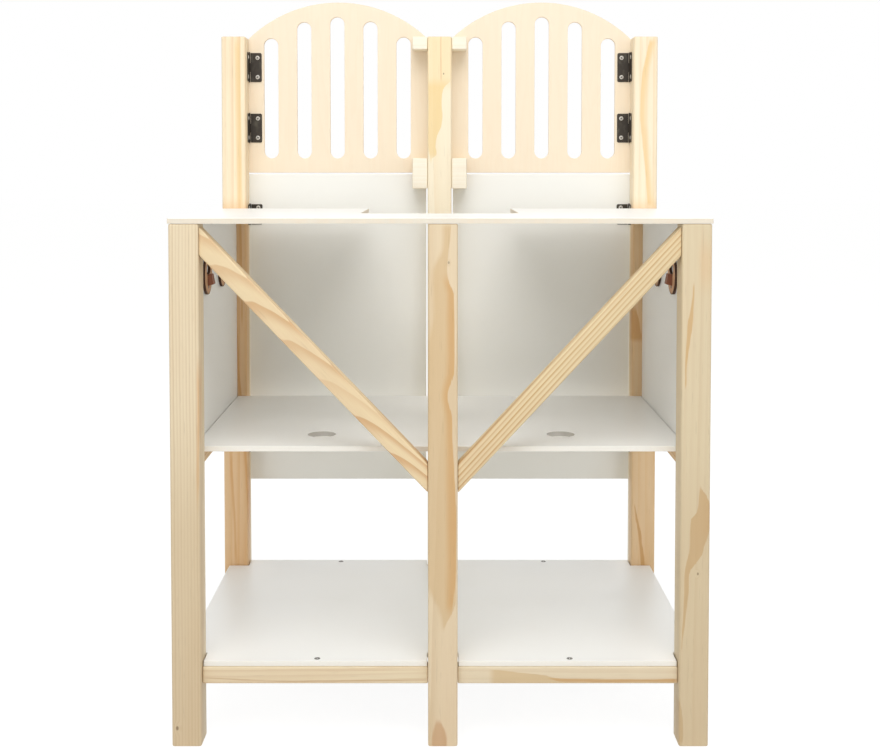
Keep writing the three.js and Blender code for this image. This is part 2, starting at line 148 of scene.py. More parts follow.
class Graph:
    # A material's or the world's node tree. node() gives one output of the new node as a
    # wire, or all of them by name where output is None.
    def __init__(self, owner):
        owner.use_nodes = True
        self.owner = owner
        self.tree = owner.node_tree
        self.tree.nodes.clear()

    def node(self, kind, settings=None, inputs=None, output=0):
        made = self.tree.nodes.new("ShaderNode" + kind)
        for key, value in (settings or {}).items():
            if key == "stops":
                self.setStops(made.color_ramp, value)
            else:
                setattr(made, key, value)
        for key, value in (inputs or {}).items():
            if isinstance(value, Wire):
                self.tree.links.new(value.socket, made.inputs[key])
            else:
                made.inputs[key].default_value = value
        if output is None:
            return {socket.name: Wire(self, socket) for socket in made.outputs}
        return Wire(self, made.outputs[output])

    def setStops(self, ramp, stops):
        ramp.interpolation = "CARDINAL"
        while len(ramp.elements) < len(stops):
            ramp.elements.new(1)
        for element, (place, level) in zip(ramp.elements, stops):
            element.position = place
            element.color = (level, level, level, 1)

    def step(self, value, low, high):
        # 0 below low, 1 above high, and a soft turn between
        places = {"Value": value, "From Min": low, "From Max": high}
        return self.node("MapRange", {"interpolation_type": "SMOOTHSTEP"}, places)

    def line(self, value, points):
        # A smooth line through points, each a place and the line's level there: a grey ramp
        # holds the levels as shares of their span
        places, levels = zip(*points)
        low, span = min(levels), max(levels) - min(levels) or 1
        length = places[-1] - places[0]
        stops = [((place - places[0]) / length, (level - low) / span) for place, level in points]
        share = (value - places[0]) / length
        return self.node("ValToRGB", {"stops": stops}, {"Fac": share}) * span + low

    def noise(self, vector, scale, detail=2.0, roughness=0.5):
        stretched = self.node("VectorMath", {"operation": "MULTIPLY"}, {0: vector, 1: scale})
        places = {"Vector": stretched, "Scale": 1.0, "Detail": detail, "Roughness": roughness}
        return self.node("TexNoise", {}, places)

    def chance(self, value):
        # A fixed random number from 0 to 1 for each whole number
        settings = {"noise_dimensions": "1D"}
        return self.node("TexWhiteNoise", settings, {"W": value.maths("FLOOR")})

    def mix(self, factor, one, two):
        # A colour is a wire or three numbers from 0 to 255
        one, two = [item if isinstance(item, Wire) else shade(*item) for item in (one, two)]
        return self.node("Mix", {"data_type": "RGBA"}, {0: factor, 6: one, 7: two}, output=2)

    def bump(self, height, distance, strength):
        places = {"Height": height, "Distance": distance, "Strength": strength}
        return self.node("Bump", {}, places)

    def surface(self, colour, roughness, normal, **more):
        values = {"Base Color": colour, "Roughness": roughness, "Normal": normal, **more}
        shader = self.node("BsdfPrincipled", {}, values)
        self.node("OutputMaterial", {}, {"Surface": shader}, None)
        return self.owner


def newMaterial(name):
    # A new material's graph, and the place in the object that its patterns start from
    graph = Graph(bpy.data.materials.new(name))
    return graph, graph.node("TexCoord", output="Object")


def spread(graph, vector):
    # The three numbers of a vector as three wires
    return list(graph.node("SeparateXYZ", {}, {0: vector}, None).values())


# Pine. Sizes in these looks are in millimetres. Across is measured from the timber's middle line.
# Along is measured from the floor on a post, from the stable's middle on a rail, batten or stop
# block, and from its own middle on a brace.

pineLook = {
    "early": (232, 214, 183),
    "late": (206, 180, 143),
    "blush": (224, 196, 160),
    "heart": (208, 164, 112),
    "dark": (112, 80, 52),
    "pith": (-150, 60),  # from the middle line, across the face and into the timber
    "lean": (0.004, 0.01),  # how far the pith moves off for each millimetre along
    "ringWidth": 4.5,
    "ringStrength": 0.6,
    "wander": 6,  # of the rings along the timber
    "ripple": 1.6,
    "blushStrength": 0.3,
    "bandWobble": 3.0,
    "bandFray": 5.0,  # how far the fibres fray the bands' edges
    "bandSide": -1,  # the bands, heart and painted shade alike, lie on this side of the timber, across the depth
    "lateStart": 0.3,  # share of the year at which the wood begins to darken
    "lateEnd": 0.94,
    "knotReach": 4.0,  # in knot sizes, how far round it the rings bend
    "knotPull": 0.9,  # by what share of a ring's width they bend
    "fibreStrength": 0.5,
    "fleckStrength": 0.12,
    "endStrength": 0.4,  # of the darker end grain
    "slowScale": (5, 5, 1.7),  # of the noises, to the metre: across, into and along the grain
    "rippleScale": (70, 70, 8),
    "cloudScale": (24, 24, 3.2),
    "fibreScale": (1000, 1000, 15),
    "fleckScale": (400, 400, 24),
    "bands": [],
    "knots": [],
    "roughness": 0.54,
    "bumpDepth": 0.22 * mm,
    "bumpStrength": 0.3,
}


def bandMask(graph, across, along, band):
    # 1 between two lines drawn along the timber, soft at each line by its own width and at both
    # ends by endFade
    low, high = graph.line(along, band["low"]), graph.line(along, band["high"])
    softLow, softHigh = band["soft"]
    endFade = band["endFade"]
    start, end = band["high"][0][0], band["high"][-1][0]
    inside = graph.step(across - low, -softLow, softLow)
    inside = inside * (1 - graph.step(across - high, -softHigh, softHigh))
    return inside * graph.step(along, start - endFade, start + endFade) * (
        1 - graph.step(along, end - endFade, end + endFade))


def pine(name, centre, directions, changes):
    # Rings: the distance from a leaning pith line, bent by slow noise, counted in years. Each
    # year darkens slowly and stops short, some years more than others. Over them lie heart bands,
    # washes of painted shade, small knots that push the rings aside, and fine fibres along the
    # grain.
    look = {**pineLook, **changes}
    graph, place = newMaterial(name)
    turn = mathutils.Matrix(directions).transposed().to_euler()
    mapping = {"Vector": place, "Location": centre, "Rotation": turn}
    local = graph.node("Mapping", {"vector_type": "TEXTURE"}, mapping)
    across, depth, along = [wire / mm for wire in spread(graph, local)]

    slow = graph.noise(local, look["slowScale"], 2)
    ripple = graph.noise(local, look["rippleScale"], 2)
    side = across - along * look["lean"][0] - look["pith"][0]
    inward = depth - along * look["lean"][1] - look["pith"][1]
    distance = (side * side + inward * inward).maths("SQRT")
    distance = distance + (slow - 0.5) * look["wander"] + (ripple - 0.5) * look["ripple"]

    knotMask = None
    for spot in look["knots"]:
        sideways = (across - spot["across"]) / spot["size"][0]
        lengthways = (along - spot["along"]) / spot["size"][1]
        far = (sideways * sideways + lengthways * lengthways).maths("SQRT")
        pull = look["ringWidth"] * look["knotPull"]
        distance = distance + (1 - graph.step(far, 0.6, look["knotReach"])) * pull
        core = (1 - graph.step(far, 0.5, 1.3)) * spot["strength"]
        knotMask = core if knotMask is None else knotMask.maths("MAXIMUM", core)

    years = distance / look["ringWidth"]
    part = years.maths("FRACT")
    late = graph.step(part, look["lateStart"], look["lateEnd"])
    late = late - graph.step(part, look["lateEnd"], 1.0)
    late = late * (0.4 + graph.chance(years) * 0.8) * (0.35 + slow * 1.3)

    cloud = graph.noise(local, look["cloudScale"], 3)
    fibre = graph.noise(local, look["fibreScale"], 3, 0.6)
    fleck = graph.step(graph.noise(local, look["fleckScale"], 2, 0.4), 0.63, 0.76)

    colour = graph.mix(graph.step(cloud, 0.42, 0.72) * look["blushStrength"],
                       look["early"], look["blush"])
    colour = graph.mix(late * look["ringStrength"], colour, look["late"])
    wobbled = across + (ripple - 0.5) * look["bandWobble"] + (cloud - 0.5) * 2
    wobbled = wobbled + (fibre - 0.5) * look["bandFray"]
    near = graph.step(depth * look["bandSide"] + (cloud - 0.5) * 12, -14, 8) * (0.7 + cloud * 0.6)
    for band in look["bands"]:
        mask = bandMask(graph, wobbled, along, band) * near
        colour = graph.mix(mask * band["strength"], colour, band["colour"])
    colour = graph.mix((fibre - 0.42) * look["fibreStrength"], colour, look["late"])
    colour = graph.mix(fleck * look["fleckStrength"], colour, look["dark"])
    if knotMask is not None:
        colour = graph.mix(knotMask, colour, look["dark"])

    # End grain soaks up more and looks darker
    facing = {0: graph.node("TexCoord", output="Normal"), 1: tuple(directions[2])}
    endOn = graph.node("VectorMath", {"operation": "DOT_PRODUCT"}, facing, output=1)
    endOn = graph.step(endOn.maths("ABSOLUTE"), 0.72, 0.96)
    colour = graph.mix(endOn * look["endStrength"], colour, look["heart"])

    height = fibre * 0.5 + late * 0.4 - fleck * 0.4
    roughness = look["roughness"] + (fibre - 0.5) * 0.2 - late * 0.05 + endOn * 0.1
    return graph.surface(colour, roughness,
                         graph.bump(height, look["bumpDepth"], look["bumpStrength"]), IOR=1.45)


# Painted boards

boardLook = {
    "white": (252, 252, 250),
    "whiteShade": (247, 246, 242),
    "whiteEdge": (246, 242, 232),
    "topEdge": (233, 229, 217),
    "door": (249, 248, 242),
    "doorShade": (243, 241, 233),
    "cream": (248, 232, 207),
    "creamShade": (245, 224, 196),
    "creamEdge": (240, 218, 186),
    # grey of a stick hole's wall, darker than the paint
    "core": (196, 193, 187),
    "boreGreyDull": (182, 176, 166),
    "grit": (198, 172, 134),
    "roughness": 0.38,
    "peelScale": (420, 420, 420),  # of the sprayed skin, to the metre
    "bumpDepth": 0.12 * mm,
    "bumpStrength": 0.25,
    "driftStrength": 0.55,
    "rubStrength": 0.15,
    "flameStrength": 0.22,
    "fibreStrength": 0.35,
    "layerStrength": 0.7,
    "gritStrength": 0.12,
}


def paintedFace(name, main, dull):
    # Sprayed paint: a faint orange-peel skin, slow drifts of tone and a few rubbed places
    look = boardLook
    graph, place = newMaterial(name)
    drift = graph.noise(place, (5, 5, 5), 3)
    peel = graph.noise(place, look["peelScale"], 2)
    rub = graph.step(graph.noise(place, (22, 22, 22), 4, 0.6), 0.52, 0.8)
    colour = graph.mix(drift * look["driftStrength"], main, dull)
    colour = graph.mix(rub * look["rubStrength"], colour, dull)
    return graph.surface(colour, look["roughness"] + (peel - 0.5) * 0.12 + rub * 0.12,
                         graph.bump(peel * 0.6 + drift, look["bumpDepth"], look["bumpStrength"]))


def veneerFace(name, main, dull):
    # Thin cream lacquer on birch veneer: upright fibres and soft flames of grain show through
    look = boardLook
    graph, place = newMaterial(name)
    flame = graph.noise(place, (26, 26, 2.6), 3)
    stripe = (flame * 9).maths("FRACT")
    stripe = graph.step(stripe, 0.2, 0.9) - graph.step(stripe, 0.92, 1.0)
    fibre = graph.noise(place, (650, 650, 12), 3, 0.6)
    peel = graph.noise(place, look["peelScale"], 2)
    shown = stripe * look["flameStrength"] + (fibre - 0.4) * look["fibreStrength"]
    height = fibre * 0.6 + peel * 0.4
    return graph.surface(graph.mix(shown, main, dull),
                         look["roughness"] + 0.06 + (fibre - 0.5) * 0.16,
                         graph.bump(height, look["bumpDepth"], look["bumpStrength"]))


def paintedEdge(name, main, dull):
    # A sawn and painted edge: the board's layers still show through as faint streaks. The wall
    # of a bore, marked on the mesh, is coloured a darker grey.
    look = boardLook
    graph, place = newMaterial(name)
    grit = graph.noise(place, (700, 700, 700), 3, 0.6)
    layer = graph.noise(place, (60, 60, 60), 3)
    colour = graph.mix(layer * look["layerStrength"], main, dull)
    colour = graph.mix(grit * look["gritStrength"], colour, look["grit"])
    bore = graph.node("Attribute", {"attribute_name": "bore"}, output="Fac")
    boreGrey = graph.mix(layer, look["core"], look["boreGreyDull"])
    colour = graph.mix(bore, colour, boreGrey)
    return graph.surface(colour, 0.55 + (grit - 0.5) * 0.2, graph.bump(grit, 0.15 * mm, 0.3))


# Metal and plywood

metalLook = {
    "black": (58, 51, 43),
    "rubbed": (118, 114, 102),
    "bright": (236, 231, 222),
    "brightDull": (190, 184, 174),
    "grey": (150, 148, 144),
    "greyDull": (104, 101, 97),
    # the dark of a screw's pressed cross: painted shade in the recess
    "recess": (34, 30, 28),
}


def blackMetal(name):
    # Black lacquer on steel, a little rubbed, with fine specks
    graph, place = newMaterial(name)
    cloud = graph.noise(place, (90, 90, 60), 3)
    speck = graph.step(graph.noise(place, (900, 900, 900), 2), 0.6, 0.75)
    worn = graph.step(cloud, 0.5, 0.75)
    colour = graph.mix(worn * 0.4 + speck * 0.1, metalLook["black"], metalLook["rubbed"])
    return graph.surface(colour, 0.36 + cloud * 0.25, graph.bump(speck + cloud, 0.05 * mm, 0.3),
                         Metallic=0.3 + worn * 0.3)


def screwSteel(name, tone):
    # Zinc plate with a cloudy bloom; the pressed cross, marked on the mesh, is painted dark as
    # shade in the recess
    graph, place = newMaterial(name)
    cloud = graph.noise(place, (700, 700, 700), 3)
    recess = graph.node("Attribute", {"attribute_name": "recess"}, output="Fac")
    colour = graph.mix(cloud, metalLook[tone], metalLook[tone + "Dull"])
    # Painted shade: the pressed cross is darkened
    colour = graph.mix(recess, colour, metalLook["recess"])
    return graph.surface(colour, 0.3 + cloud * 0.2 + recess * 0.25,
                         graph.bump(cloud, 0.03 * mm, 0.2), Metallic=0.25 - recess * 0.2)


plywoodLook = {
    "face": (216, 172, 134),
    "grain": (188, 140, 100),
    "armFace": (172, 112, 84),
    "armGrain": (146, 90, 62),
    "burnt": (50, 28, 18),
    "charred": (104, 66, 40),
    "ply": 0.8 * mm,
}


def plywoodFace(name, main, dull):
    # Veneer with fine upright grain, scorched brown towards the cut edges
    graph, place = newMaterial(name)
    grain = graph.noise(place, (500, 500, 24), 3, 0.6)
    cloud = graph.noise(place, (60, 60, 30), 2)
    scorch = graph.node("Attribute", {"attribute_name": "scorch"}, output="Fac")
    colour = graph.mix(grain * 0.7 + cloud * 0.2, main, dull)
    colour = graph.mix(scorch * (0.75 + grain * 0.3), colour, plywoodLook["burnt"])
    return graph.surface(colour, 0.55 + grain * 0.15, graph.bump(grain, 0.1 * mm, 0.3))


def plywoodEdge(name):
    # Burnt edge: the veneers, one over the other across the disc, show as thin bands
    graph, place = newMaterial(name)
    depth = spread(graph, place)[0] / plywoodLook["ply"]
    band = graph.step((depth.maths("FRACT") - 0.5).maths("ABSOLUTE"), 0.2, 0.3)
    soot = graph.noise(place, (300, 300, 300), 3)
    colour = graph.mix(band * 0.45 + soot * 0.2, plywoodLook["burnt"], plywoodLook["charred"])
    return graph.surface(colour, 0.7 + soot * 0.1, graph.bump(band + soot, 0.08 * mm, 0.4))


whiteFace = paintedFace("white_face", boardLook["white"], boardLook["whiteShade"])
whiteEdge = paintedEdge("white_edge", boardLook["whiteEdge"], boardLook["whiteShade"])
topEdge = paintedEdge("top_edge", boardLook["topEdge"], boardLook["creamShade"])
doorFace = paintedFace("door_face", boardLook["door"], boardLook["doorShade"])
creamFace = veneerFace("cream_face", boardLook["cream"], boardLook["creamShade"])
creamEdge = paintedEdge("cream_edge", boardLook["creamEdge"], boardLook["creamShade"])
hingeBlack = blackMetal("hinge_black")
zinc = screwSteel("zinc", "bright")
greySteel = screwSteel("grey_steel", "grey")
discFace = plywoodFace("disc_face", plywoodLook["face"], plywoodLook["grain"])
discEdge = plywoodEdge("disc_edge")
armFace = plywoodFace("arm_face", plywoodLook["armFace"], plywoodLook["armGrain"])
print("shared materials made")


# Meshes

def gridFaces(rows, columns, closed):
    # Quads between neighbouring rows and columns, the last column joined to the first if closed
    row = np.arange(rows - 1)[:, None]
    column = np.arange(columns if closed else columns - 1)[None, :]
    one = row * columns + column
    two = row * columns + (column + 1) % columns
    return np.stack([one, two, two + columns, one + columns], -1).reshape(-1, 4)


def tubeFaces(rows, columns):
    # The quads of a tube of closed rows, and one face over each end
    faces = gridFaces(rows, columns, True).tolist()
    faces.append(list(range(columns))[::-1])
    faces.append([index + (rows - 1) * columns for index in range(columns)])
    return faces


def makePiece(name, points, faces, materials, smooth=True, merge=False):
    mesh = bpy.data.meshes.new(name)
    mesh.from_pydata(np.asarray(points, float).reshape(-1, 3), [], [list(f) for f in faces])
    if merge:
        work = bmesh.new()
        work.from_mesh(mesh)
        bmesh.ops.remove_doubles(work, verts=work.verts, dist=0.01 * mm)
        work.to_mesh(mesh)
        work.free()
    mesh.polygons.foreach_set("use_smooth", np.full(len(mesh.polygons), smooth))
    for material in materials:
        mesh.materials.append(material)
    mesh.update()
    piece = bpy.data.objects.new(name, mesh)
    scene.collection.objects.link(piece)
    return piece


def mark(piece, name, values):
    # One number for each point of the mesh, which a material reads by its name
    data = piece.data.attributes.new(name, "FLOAT", "POINT").data
    data.foreach_set("value", np.asarray(values, np.float32))


def stack(parts):
    # Several point and face arrays as one
    points, faces, count = [], [], 0
    for somePoints, someFaces in parts:
        points.append(somePoints.reshape(-1, somePoints.shape[-1]))
        faces.extend([[index + count for index in face] for face in someFaces])
        count += len(points[-1])
    return np.concatenate(points), faces


def circle(angle):
    # The points (cos, sin) of some angles
    return np.stack([np.cos(angle), np.sin(angle)], -1)


def ease(piece, width, segments=3, angle=35):
    bevel = piece.modifiers.new("eased_edges", "BEVEL")
    bevel.width = width
    bevel.segments = segments
    bevel.limit_method = "ANGLE"
    bevel.angle_limit = math.radians(angle)
    bevel.harden_normals = True


def thicken(piece, thickness, centred=False):
    solidify = piece.modifiers.new("thickness", "SOLIDIFY")
    solidify.thickness = thickness
    solidify.offset = 0 if centred else -1
    solidify.material_offset_rim = len(piece.data.materials) - 1


def settle(piece, node, body="stable_frame"):
    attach(piece, body)
    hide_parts(node)


# Timbers

timberShape = {
    "cornerSteps": 6,
    "endSteps": 5,
    "endRound": 2.2 * mm,
}


def timber(name, centre, directions, halves, radius, endPlanes, planeAxis, material):
    # A rounded rectangle carried along the grain between two end planes. Its corner points are
    # a corner centre plus a radius times (cos, sin). Near an end the radius shrinks by
    # round * (1 - sin a) while the ring moves in by round * (1 - cos a), a quarter circle.
    wide, deep, along = directions
    quarter = np.linspace(0, math.pi / 2, timberShape["cornerSteps"])
    angle = (np.arange(4)[:, None] * math.pi / 2 + quarter[None, :]).ravel()
    signs = np.repeat([[1, 1], [-1, 1], [-1, -1], [1, -1]], len(quarter), axis=0)
    middle = signs * (np.array(halves) - radius)
    unit = circle(angle)
    bend = np.linspace(0, math.pi / 2, timberShape["endSteps"])
    inset = timberShape["endRound"] * (1 - np.sin(bend))
    advance = timberShape["endRound"] * (1 - np.cos(bend))
    inset = np.concatenate([inset, inset[::-1]])[:, None, None]
    section = middle[None] + (radius - inset) * unit[None]
    flat = centre + section[..., :1] * wide + section[..., 1:] * deep
    reach = [(plane - flat @ planeAxis) / (along @ planeAxis) for plane in endPlanes]
    half = len(bend)
    travel = np.concatenate([
        reach[0][:half] + advance[:, None],
        reach[1][half:] - advance[::-1, None],
    ])
    points = flat + travel[..., None] * along
    piece = makePiece(name, points, tubeFaces(*travel.shape), [material])
    for index in (-1, -2):  # the flat end faces keep a crisp normal
        piece.data.polygons[index].use_smooth = False
    return piece


def straightTimber(node, grain, radius, changes):
    # A timber that fills its solid's box, its grain along one axis of the frame. Its look is
    # laid out from the timber's middle line, along the grain from the frame's own middle.
    low, high = corners(node)
    order = {"x": (2, 1, 0), "y": (2, 0, 1), "z": (0, 1, 2)}[grain]
    directions = [np.eye(3)[index] for index in order]
    if grain != "z":
        directions[1] = -directions[1]
    centre = (low + high) / 2
    halves = [(high - low)[order[0]] / 2, (high - low)[order[1]] / 2]
    along = directions[2]
    centre = centre - along * (centre @ along)
    wood = pine("pine_" + node, centre, directions, changes)
    planes = (low @ along, high @ along)
    piece = timber("timber_" + node, centre, directions, halves, radius, planes, along, wood)
    settle(piece, node)


postRadius = 3.5 * mm
railRadius = 2.5 * mm
smallRadius = 1.5 * mm


def streak(high, low, colour, strength, soft=(0.8, 0.8), endFade=6):
    # A band between a high and a low line of (along, across) points: heartwood, a paler patch
    # or painted shade; soft holds the blur of the low line and of the high one
    return {"high": high, "low": low, "colour": colour, "strength": strength, "soft": soft,
            "endFade": endFade}


def wash(start, end, colour, strength, soft=(0.8, 0.8), endFade=20):
    # A band over the timber's whole width; on the posts mostly a wash of painted shade
    return streak([(start, 30), (end, 30)], [(start, -30), (end, -30)], colour, strength, soft,
                  endFade)


def knot(along, across, size, strength):
    return {"along": along, "across": across, "size": size, "strength": strength}


brown = (206, 148, 88)
# Painted shade: a brownish grey that darkens the rear posts towards the floor, where less light
# reaches
paintedShade = (198, 172, 134)

# Each timber's rings, heart bands, knots and washes of painted shade
postLooks = {
    "rear_post_left": {
        "early": (231, 214, 183), "pith": (-190, 60), "ringWidth": 4.4, "ringStrength": 0.62,
        "bands": [
            streak([(370, 20.5), (470, 21.5), (570, 22)], [(370, 17), (470, 18), (570, 20)],
                   (218, 172, 120), 0.7, (2, 0.8), 30),
            # Painted shade over the post's lower part
            wash(-300, 420, paintedShade, 0.45, endFade=120),
        ],
        "knots": [knot(28, -14, (2.2, 3.4), 0.7)],
    },
    "rear_post_centre": {
        "early": (229, 209, 177), "late": (206, 178, 138), "pith": (12, 70), "ringWidth": 7,
        "ringStrength": 0.4,
        "bands": [
            streak([(178, 3), (195, 10), (215, 18), (250, 19), (310, 20), (390, 18), (455, 14),
                    (498, 13), (528, 7), (560, 16), (678, 16), (700, 8), (725, 7), (780, 12)],
                   [(178, 0), (200, -4), (215, -10), (245, -24), (400, -25), (600, -24),
                    (640, -15), (715, -14), (740, -2), (780, 0)],
                   (212, 182, 138), 0.75, (5, 0.8)),
            streak([(205, 13), (250, 19), (310, 20), (390, 18), (455, 14), (498, 13), (528, 7),
                    (560, 16), (678, 16), (700, 8)],
                   [(205, 6), (250, 6), (310, 6), (390, 5), (455, 5), (498, 4), (528, 0),
                    (560, 6), (678, 7), (700, 1)],
                   (208, 162, 104), 0.75, (6, 0.8), 14),
            streak([(-6, 5), (12, 6), (26, 3), (38, -3)], [(-6, -15), (12, -16), (38, -11)],
                   (203, 164, 124), 0.8, (2, 2)),
        ],
        "knots": [knot(724, 8.6, (1.6, 2.4), 0.5)],
    },
    "rear_post_right": {
        "early": (220, 203, 170), "late": (200, 172, 134), "pith": (120, 80), "ringWidth": 8,
        "ringStrength": 0.25, "blushStrength": 0.2,
        "bands": [
            streak([(540, -15.5), (580, -14), (620, -8), (660, -5), (692, -4)],
                   [(540, -17.5), (580, -16.6), (640, -12.6), (660, -8.8), (692, -5.6)],
                   (206, 168, 116), 0.8),
            streak([(148, -17.6), (190, -14), (230, -10), (260, -9), (271, -3), (288, 9),
                    (306, 15), (330, 22), (360, 23), (372, 19), (382, 14), (390, 8)],
                   [(148, -19), (190, -17), (231, -15.6), (267, -14.5), (292, -9), (343, -6.6),
                    (353, 1.6), (390, 6)],
                   (197, 159, 108), 0.8),
            streak([(4, -17), (14, -15), (35, -15.4), (56, -18), (70, -20)],
                   [(4, -30), (70, -30)], (202, 174, 132), 0.9),
            streak([(690, 26), (750, 26)], [(690, 3), (750, 3)],
                   (222, 184, 138), 0.4, (6, 2), 24),
            # Painted shade over the post's lower part
            wash(-300, 400, paintedShade, 0.3, endFade=120),
        ],
        "knots": [knot(261, 4.5, (1.5, 2.3), 0.6)],
    },
    "front_post_left": {
        "early": (248, 232, 201), "late": (230, 190, 140), "pith": (-70, -60), "ringWidth": 12,
        "ringStrength": 0.55,
        "bands": [
            streak([(795, 15.5), (950, 14), (1097, 12)], [(795, 6), (950, 4), (1097, 3)],
                   (240, 206, 144), 0.6, (3, 1.5), 20),
            streak([(579, 15), (672, 14), (764, 13)], [(579, 12), (672, 11), (764, 9)],
                   brown, 0.7, (2, 1), 20),
            streak([(193, 26), (337, 19), (444, 11), (532, 6), (634, 4)],
                   [(193, 22), (337, 15), (444, 7), (532, 2), (634, 0)],
                   brown, 0.7, (2, 1), 20),
            streak([(134, 1), (227, -2), (337, -8)], [(134, -3), (227, -6), (337, -12)],
                   brown, 0.6, (2, 1), 20),
            # Painted shade: below the top shelf the post is washed darker and more orange, so it
            # looks paler above, where the light is brighter
            wash(-40, 795, (222, 166, 100), 0.6),
        ],
    },
    "front_post_centre": {
        "early": (250, 238, 212), "late": (240, 214, 172), "pith": (8, -90), "ringWidth": 9,
        "ringStrength": 0.35,
        "bands": [
            wash(1018, 1120, (246, 222, 176), 0.7, (4, 4), 18),
            streak([(1024, 3.6), (1110, 3.4)], [(1024, 1.8), (1110, 1.8)], (226, 186, 130), 0.7),
            streak([(880, -14), (887, -6.5), (905, -7.5), (922, -5), (937, 2), (956, 5),
                    (988, 4), (1006, 6), (1015, 12), (1022, 19)],
                   [(880, -18), (905, -21), (1022, -21)], (240, 208, 142), 0.75, (2, 0.8), 12),
        ],
        "knots": [knot(1036, 7.4, (1.3, 2), 0.6)],
    },
    "front_post_right": {
        "early": (250, 236, 209), "late": (236, 202, 152), "pith": (60, -80), "ringWidth": 10,
        "ringStrength": 0.35,
        "bands": [
            streak([(795, 14), (933, 2), (979, 0), (1047, 5), (1097, 16)],
                   [(795, 4.5), (887, -3), (933, -8), (979, -10), (1047, -5), (1097, 6)],
                   (240, 204, 142), 0.75, (0.9, 6)),
            streak([(545, -4), (560, -6), (590, -12), (603, -15)], [(545, -30), (603, -30)],
                   (196, 138, 92), 0.8),
            streak([(121, 5), (157, 0), (193, -5.5), (237, -15)],
                   [(121, -3.5), (193, -10), (237, -16.5)], (188, 138, 92), 0.9),
            # Painted shade: below the top shelf the post is washed darker and more orange, so it
            # looks paler above, where the light is brighter
            wash(-40, 795, (222, 172, 106), 0.6),
        ],
    },
}

# Across is upwards on the rails, along is from left to right
railLooks = {
    "rear_bottom_rail_left": {
        "early": (232, 215, 183), "late": (210, 180, 142), "pith": (-60, -50), "ringWidth": 6,
        "bandSide": 1, "ringStrength": 0.35,
        "bands": [
            streak([(-351, -3), (-244, -7.6), (-22, -6.7)], [(-351, -4.4), (-244, -9), (-22, -8)],
                   (203, 170, 130), 0.8),
            streak([(-180, 8.2), (-22, 8.2)], [(-180, 7.2), (-22, 7.2)],
                   (206, 174, 134), 0.6, endFade=20),
        ],
    },
    "rear_bottom_rail_right": {
        "early": (228, 212, 183), "late": (206, 178, 140), "pith": (50, -60), "ringWidth": 7,
        "bandSide": 1, "ringStrength": 0.3,
        "bands": [
            streak([(77, 8.7), (114, 5), (160, -0.4), (179, -5), (354, -5)],
                   [(77, -16), (354, -16)], (212, 184, 140), 0.8, (1, 0.8)),
            streak([(165, -4), (179, -5.4), (354, -5.6)], [(165, -6), (179, -9.7), (354, -9.9)],
                   (204, 160, 108), 0.75),
        ],
    },
    "front_bottom_rail_left": {"early": (236, 220, 190), "pith": (40, 60), "ringWidth": 6},
    "front_bottom_rail_right": {"early": (234, 217, 187), "pith": (-55, 60), "ringWidth": 7},
}

battenLook = {"early": (222, 188, 142), "late": (186, 142, 96), "pith": (30, 40), "ringWidth": 4}
stopLook = {"early": (253, 245, 226), "late": (242, 222, 186), "pith": (60, -30), "ringWidth": 6,
            "ringStrength": 0.18}

for node, look in postLooks.items():
    slotName = "heart_pine" if node == "rear_post_centre" else "pine"
    straightTimber(node, "z", postRadius, look)
for node, look in railLooks.items():
    straightTimber(node, "x", railRadius, look)
for word in sides:
    straightTimber("middle_shelf_batten_" + word, "y", smallRadius, battenLook)
    for level in ("upper", "lower"):
        straightTimber(level + "_stop_block_" + word, "x", smallRadius, stopLook)

# On a brace, across is square to it on its rear face and along rises to the outer post
braceShape = {"width": 29.5 * mm, "drop": 353 * mm, "radius": 2.5 * mm}

braceLooks = {
    "left": {
        "early": (236, 214, 174), "late": (205, 157, 106), "pith": (-17, 34), "lean": (0, 0.12),
        "ringWidth": 9, "ringStrength": 0.6, "wander": 6,
    },
    "right": {
        "early": (230, 210, 169), "late": (201, 160, 110), "pith": (-90, 20), "lean": (0.01, 0.01),
        "ringWidth": 6, "ringStrength": 0.8, "wander": 4,
    },
}


def makeBrace(word, side, shape):
    # A bar between the posts, its ends cut upright to stand on them
    node = "brace_" + word
    low, high = corners(node)
    slope = math.atan2(shape["drop"], high[0] - low[0])
    along = axisX * (side * math.cos(slope)) + axisZ * math.sin(slope)
    back = axisY * side
    square = np.cross(along, back)
    centre = (low + high) / 2
    upward = square if square[2] > 0 else -square
    wood = pine("pine_" + node, centre, (upward, np.cross(along, upward), along), braceLooks[word])
    planes = (low[0], high[0]) if side > 0 else (high[0], low[0])
    halves = ((high - low)[1] / 2, shape["width"] / 2)
    piece = timber("timber_" + node, centre, (back, square, along), halves, shape["radius"],
                   planes, axisX, wood)
    settle(piece, node)


for word, side in sides.items():
    makeBrace(word, side, braceShape)
print("timbers made")


# Boards

slabEdges = {"board": (0.9 * mm, 3), "plywood": (0.3 * mm, 2)}  # eased width and its segments

boardShape = {
    "notchHalf": 130 * mm,
    "notchRadius": 24 * mm,
    "notchDepth": 259 * mm,
    "stickRadius": 22 * mm,
    "stickFromBack": 132 * mm,
    "postPlay": 1.5 * mm,
    "seam": 0.7 * mm,
    "holeSteps": 18,  # points on a quarter of a stick hole
    "holeRows": 4,
    "notchSteps": 13,
}


def arc(centre, radius, start, end, count):
    # Points on a circle: the centre plus the radius times (cos, sin) of even angles in degrees
    return np.array(centre) + radius * circle(np.radians(np.linspace(start, end, count)))


def segment(start, end, count):
    # Even points from start towards end, without the end
    share = np.arange(count)[:, None] / count
    return np.array(start) + share * (np.array(end) - np.array(start))


